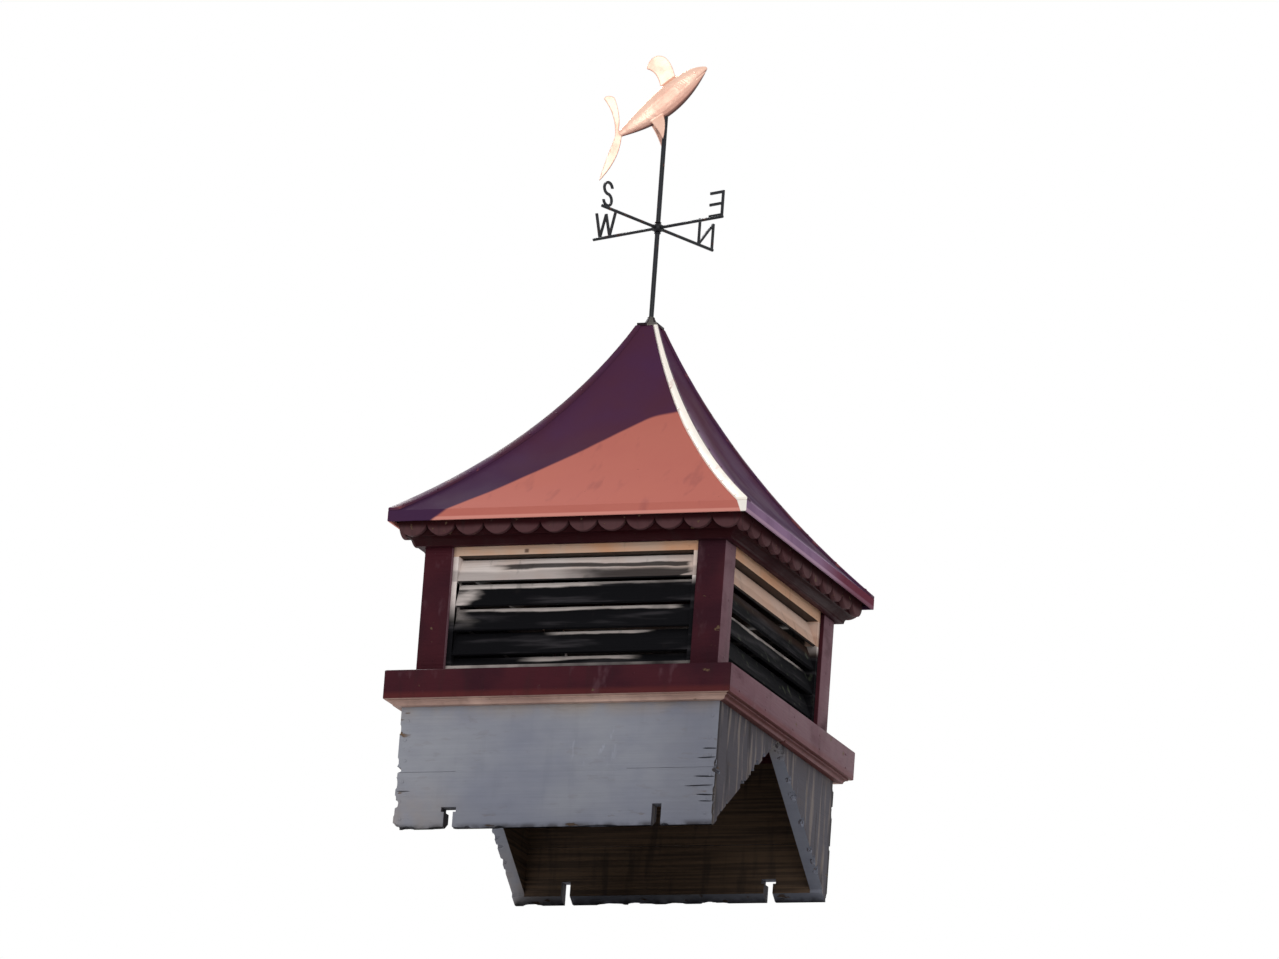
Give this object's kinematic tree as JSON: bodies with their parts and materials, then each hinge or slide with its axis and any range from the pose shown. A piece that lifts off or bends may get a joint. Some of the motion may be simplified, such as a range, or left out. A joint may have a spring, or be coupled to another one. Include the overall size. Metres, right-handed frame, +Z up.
{
  "type": "roof cupola with weathervane",
  "caption": "Square louvered roof cupola with a hollow-curved hip roof and a turning shark weathervane; its base straddles a roof ridge.",
  "frame": {"origin": "centre of the base box at the level of its lowest edges", "axes": "+Z up, +X along the roof ridge that the base straddles, -Y to the front"},
  "size_m": [0.704, 0.704, 1.5708],
  "materials": {
    "weathered_boards": "weathered grey-white paint, peeling",
    "red_paint": "aged barn-red paint",
    "louver_paint": "faded cream paint with dark mildew",
    "scallop_paint": "weathered red-brown paint",
    "roof_metal": "faded terracotta-red painted metal",
    "hip_metal": "faded terracotta-red painted metal",
    "bare_wood": "bare softwood",
    "black_iron": "black paint",
    "copper": "polished copper, slightly aged"
  },
  "bodies": {
    "root": {"base_front_upper": "weathered_boards", "base_front_lower": "weathered_boards", "base_back_upper": "weathered_boards", "base_back_lower": "weathered_boards", "base_left": "weathered_boards", "base_right": "weathered_boards", "sill_front": "red_paint", "sill_right": "red_paint", "sill_back": "red_paint", "sill_left": "red_paint", "sill_cove": "red_paint", "post_front_left": "red_paint", "post_front_right": "red_paint", "post_back_right": "red_paint", "post_back_left": "red_paint", "crown_moulding": "red_paint", "top_plate": "red_paint", "louver_front": "louver_paint", "louver_right": "louver_paint", "louver_back": "louver_paint", "louver_left": "louver_paint", "scallop_front": "scallop_paint", "scallop_right": "scallop_paint", "scallop_back": "scallop_paint", "scallop_left": "scallop_paint", "roof_front": "roof_metal", "roof_right": "roof_metal", "roof_back": "roof_metal", "roof_left": "roof_metal", "hip_caps": "hip_metal", "peak_cap": "hip_metal", "peak_block": "bare_wood", "vane_rod": "black_iron", "compass_hub": "black_iron", "compass_north": "black_iron", "compass_east": "black_iron", "compass_south": "black_iron", "compass_west": "black_iron"},
    "vane": {"vane_sleeve": "black_iron", "shark_body": "copper", "dorsal_fin": "copper", "side_fins": "copper", "tail_fin": "copper"}
  },
  "joints": [
    {"name": "vane_spin", "type": "hinge", "parent": "root", "child": "vane", "pos_m": [0, 0, 1.35], "axis": [0, 0, 1], "continuous": true}
  ]
}
